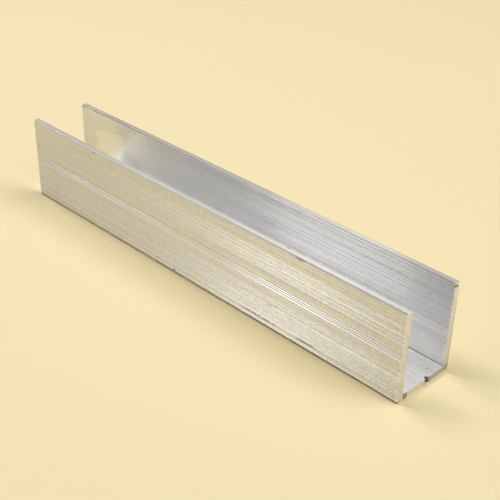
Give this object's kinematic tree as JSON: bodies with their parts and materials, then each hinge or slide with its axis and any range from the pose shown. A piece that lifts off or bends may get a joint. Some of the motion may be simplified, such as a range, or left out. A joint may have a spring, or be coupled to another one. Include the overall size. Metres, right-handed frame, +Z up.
{
  "type": "aluminium extrusion profile",
  "caption": "Short cut length of extruded aluminium U-channel: flat web, legs taller than the web is wide, fine scribe grooves along the outside of the legs, square sawn ends.",
  "frame": {"origin": "underside of the web, at the middle of its length and width", "axes": "+X along the length towards the nicked end, +Y across the web, +Z up the legs towards the open side"},
  "size_m": [0.112, 0.0154, 0.02],
  "materials": {
    "mill_finish_aluminium": "mill finish with fine die lines along the length, light cross scuffs and bright sawn ends"
  },
  "bodies": {
    "root": {"u_channel": "mill_finish_aluminium"}
  },
  "joints": []
}
